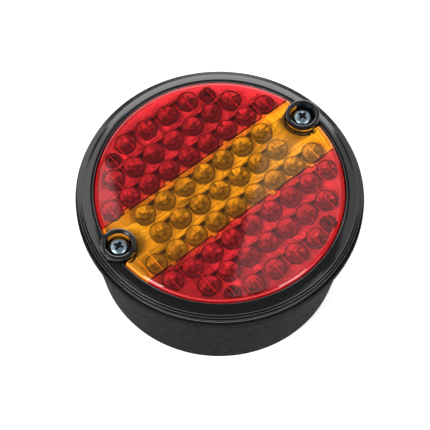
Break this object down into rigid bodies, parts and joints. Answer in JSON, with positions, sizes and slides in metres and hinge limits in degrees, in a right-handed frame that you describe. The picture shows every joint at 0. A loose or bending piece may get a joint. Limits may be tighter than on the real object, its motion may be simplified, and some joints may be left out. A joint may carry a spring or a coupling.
{
  "type": "trailer tail light",
  "caption": "Round rear lamp with a red and amber striped lens on a deep conical black housing; the light unit lifts off once its captive screws are turned out.",
  "frame": {"origin": "centre of the flat mounting face at the back of the housing", "axes": "+Z out through the lens, X along the amber stripe, and +Y towards the side that both screw wells are offset to"},
  "size_m": [0.14, 0.14, 0.065],
  "materials": {
    "housing_plastic": "fine matt grain, black",
    "insert_brass": "turned, knurled outside",
    "grommet_rubber": "matt",
    "gasket_rubber": "matt closed-cell",
    "bezel_plastic": "satin gloss, black",
    "sealant": "cured bead",
    "lens_red": "polished, transparent red",
    "lens_amber": "polished, transparent amber",
    "collar_plastic": "polished black",
    "clear_optic": "polished, clear",
    "board_white": "white solder resist",
    "led_red": "moulded package",
    "led_amber": "moulded package",
    "chip_ceramic": "black film",
    "chip_plastic": "moulded package",
    "block_plastic": "moulded, matt",
    "blade_brass": "stamped, tin flashed",
    "screw_zinc": "bright zinc plate",
    "seal_rubber": "matt"
  },
  "bodies": {
    "housing": {"rear_housing": "housing_plastic", "post_inserts": "insert_brass", "cable_grommet": "grommet_rubber", "housing_gasket": "gasket_rubber"},
    "light_unit": {"bezel_tray": "bezel_plastic", "lens_seal": "sealant", "lens_red_upper": "lens_red", "lens_amber": "lens_amber", "lens_red_lower": "lens_red", "collar_left": "collar_plastic", "collar_right": "collar_plastic", "optic_plate": "clear_optic", "led_board": "board_white", "leds_red_upper": "led_red", "leds_amber": "led_amber", "leds_red_lower": "led_red", "resistors": "chip_ceramic", "diodes": "chip_plastic", "regulators": "chip_plastic", "blade_block": "block_plastic", "contact_blades": "blade_brass", "optic_screws": "screw_zinc", "screw_seals": "seal_rubber"},
    "washer_left": {"washer_left": "screw_zinc"},
    "screw_left": {"main_screw_left": "screw_zinc"},
    "washer_right": {"washer_right": "screw_zinc"},
    "screw_right": {"main_screw_right": "screw_zinc"}
  },
  "joints": [
    {"name": "light_unit_lift", "type": "slide", "parent": "housing", "child": "light_unit", "axis": [0, 0, 1], "range_m": [0, 0.06]},
    {"name": "screw_left_back_out", "type": "slide", "parent": "light_unit", "child": "washer_left", "axis": [0, 0, 1], "range_m": [0, 0.012]},
    {"name": "screw_left_turn", "type": "hinge", "parent": "washer_left", "child": "screw_left", "pos_m": [-0.0572, 0.0058, 0.0606], "axis": [0, 0, 1], "range_deg": [0, 5400]},
    {"name": "screw_right_back_out", "type": "slide", "parent": "light_unit", "child": "washer_right", "axis": [0, 0, 1], "range_m": [0, 0.012]},
    {"name": "screw_right_turn", "type": "hinge", "parent": "washer_right", "child": "screw_right", "pos_m": [0.0572, 0.0058, 0.0606], "axis": [0, 0, 1], "range_deg": [0, 5400]}
  ],
  "couplings": [
    {"joint": "screw_left_turn", "follows": "screw_left_back_out", "rad_per_m": 7854},
    {"joint": "screw_right_turn", "follows": "screw_right_back_out", "rad_per_m": 7854}
  ]
}
